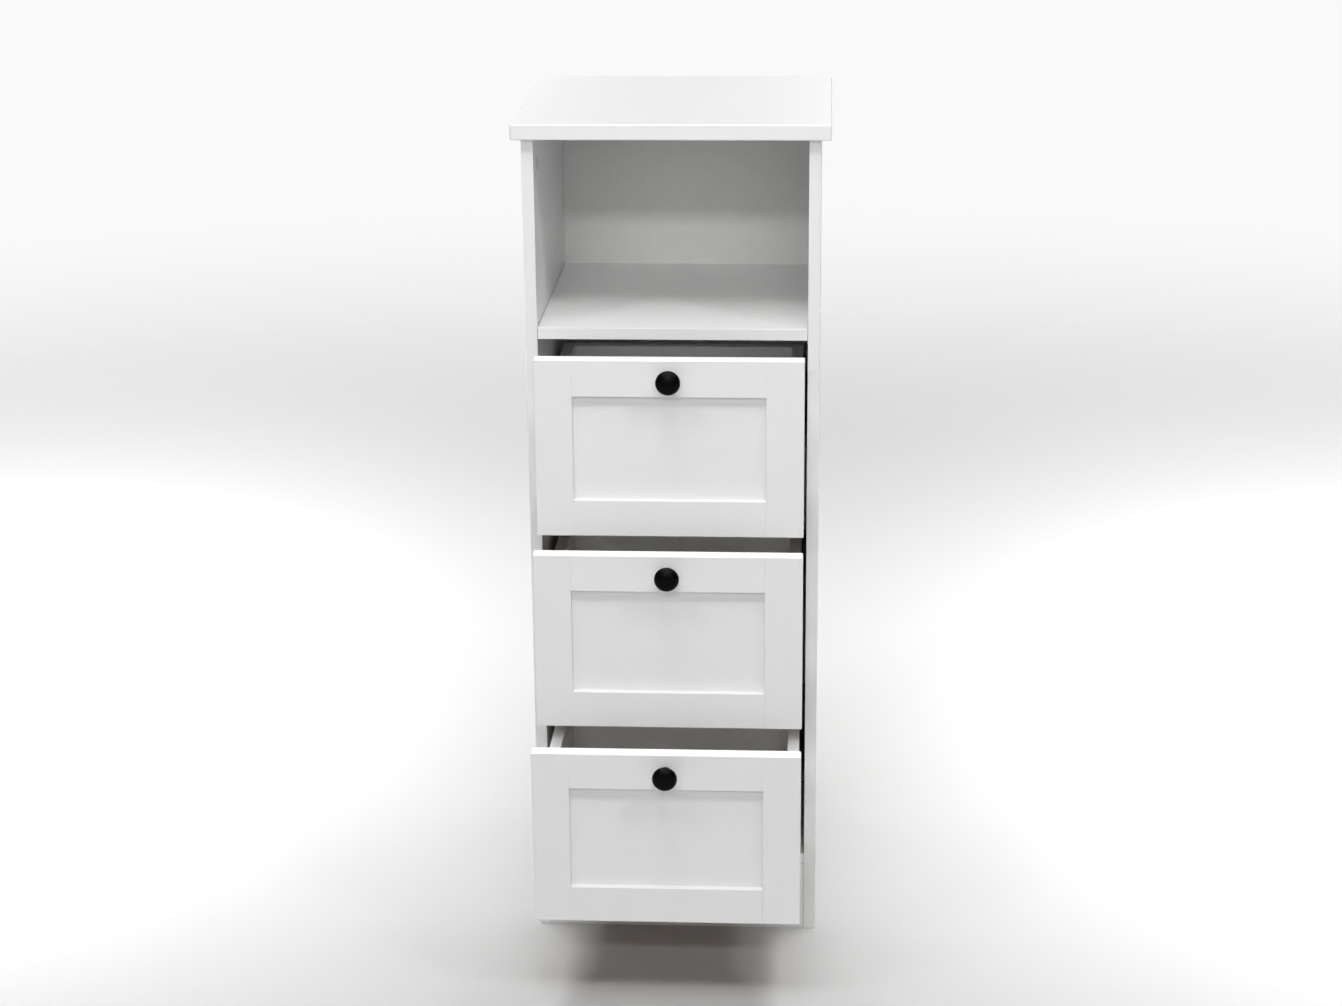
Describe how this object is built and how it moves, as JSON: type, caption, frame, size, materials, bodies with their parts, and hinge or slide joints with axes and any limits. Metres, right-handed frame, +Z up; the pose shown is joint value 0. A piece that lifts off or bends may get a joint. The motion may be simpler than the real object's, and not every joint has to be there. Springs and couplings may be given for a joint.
{
  "type": "slim chest of drawers",
  "caption": "Slim free-standing chest with an open compartment above framed drawers that slide out on strip runners, with round knobs.",
  "frame": {"origin": "on the floor, at the middle of the underside of the plinth board, 6 mm behind the cabinet's front face", "axes": "+Z up; the front with the drawers faces -Y; +X to the right of a person facing the front"},
  "size_m": [0.32, 0.5023, 0.882],
  "materials": {
    "white_board": "white melamine-faced particle board, satin, edges banded in the same white",
    "white_front": "white foil-wrapped fibreboard, satin",
    "hardboard": "thin hardboard with a white printed face, matt",
    "black_satin": "satin black paint on die-cast metal",
    "zinc": "zinc-plated",
    "grey_plastic": "dark grey moulded plastic"
  },
  "bodies": {
    "cabinet": {"top_panel": "white_board", "left_side_panel": "white_board", "right_side_panel": "white_board", "fixed_shelf": "white_board", "bottom_panel": "white_board", "plinth_board": "white_board", "back_panel": "hardboard", "cam_lock_left_front": "zinc", "cam_bolt_left_front": "zinc", "cam_lock_left_rear": "zinc", "cam_bolt_left_rear": "zinc", "cam_lock_right_front": "zinc", "cam_bolt_right_front": "zinc", "cam_lock_right_rear": "zinc", "cam_bolt_right_rear": "zinc", "top_runner_left": "grey_plastic", "top_runner_right": "grey_plastic", "middle_runner_left": "grey_plastic", "middle_runner_right": "grey_plastic", "bottom_runner_left": "grey_plastic", "bottom_runner_right": "grey_plastic"},
    "top_drawer": {"top_front_left_stile": "white_front", "top_front_right_stile": "white_front", "top_front_top_rail": "white_front", "top_front_bottom_rail": "white_front", "top_front_centre_panel": "white_front", "top_box_left_side": "white_board", "top_box_right_side": "white_board", "top_box_back": "white_board", "top_box_bottom": "hardboard", "top_knob": "black_satin", "top_knob_screw": "zinc"},
    "middle_drawer": {"middle_front_left_stile": "white_front", "middle_front_right_stile": "white_front", "middle_front_top_rail": "white_front", "middle_front_bottom_rail": "white_front", "middle_front_centre_panel": "white_front", "middle_box_left_side": "white_board", "middle_box_right_side": "white_board", "middle_box_back": "white_board", "middle_box_bottom": "hardboard", "middle_knob": "black_satin", "middle_knob_screw": "zinc"},
    "bottom_drawer": {"bottom_front_left_stile": "white_front", "bottom_front_right_stile": "white_front", "bottom_front_top_rail": "white_front", "bottom_front_bottom_rail": "white_front", "bottom_front_centre_panel": "white_front", "bottom_box_left_side": "white_board", "bottom_box_right_side": "white_board", "bottom_box_back": "white_board", "bottom_box_bottom": "hardboard", "bottom_knob": "black_satin", "bottom_knob_screw": "zinc"}
  },
  "joints": [
    {"name": "top_drawer_slide", "type": "slide", "parent": "cabinet", "child": "top_drawer", "axis": [0, -1, 0], "range_m": [-0.067, 0.133]},
    {"name": "middle_drawer_slide", "type": "slide", "parent": "cabinet", "child": "middle_drawer", "axis": [0, -1, 0], "range_m": [-0.116, 0.084]},
    {"name": "bottom_drawer_slide", "type": "slide", "parent": "cabinet", "child": "bottom_drawer", "axis": [0, -1, 0], "range_m": [-0.177, 0.023]}
  ]
}
